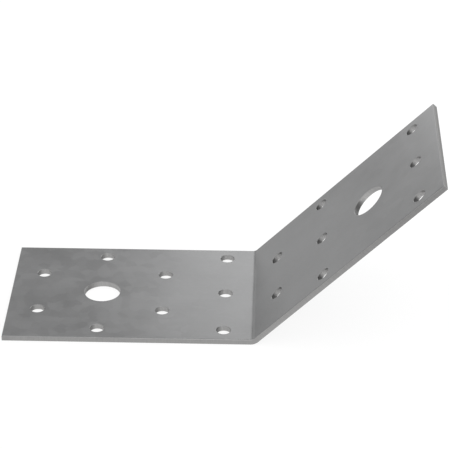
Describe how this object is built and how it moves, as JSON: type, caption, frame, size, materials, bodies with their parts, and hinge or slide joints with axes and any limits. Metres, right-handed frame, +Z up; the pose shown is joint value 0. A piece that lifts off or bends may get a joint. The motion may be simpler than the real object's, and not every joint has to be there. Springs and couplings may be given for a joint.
{
  "type": "obtuse angle bracket",
  "caption": "Obtuse angle bracket folded from one strip of zinc-coated sheet steel, with staggered nail holes and a bolt hole in each leg.",
  "frame": {"origin": "centre of the flat leg's bolt hole, on the underside that the bracket stands on", "axes": "+X along the flat leg towards the fold and the raised leg, +Y across the strip, +Z up, square to the flat leg"},
  "size_m": [0.1536, 0.06, 0.0654],
  "materials": {
    "zinc_coated_steel": "zinc-coated, satin grey"
  },
  "bodies": {
    "root": {"bracket_plate": "zinc_coated_steel"}
  },
  "joints": []
}
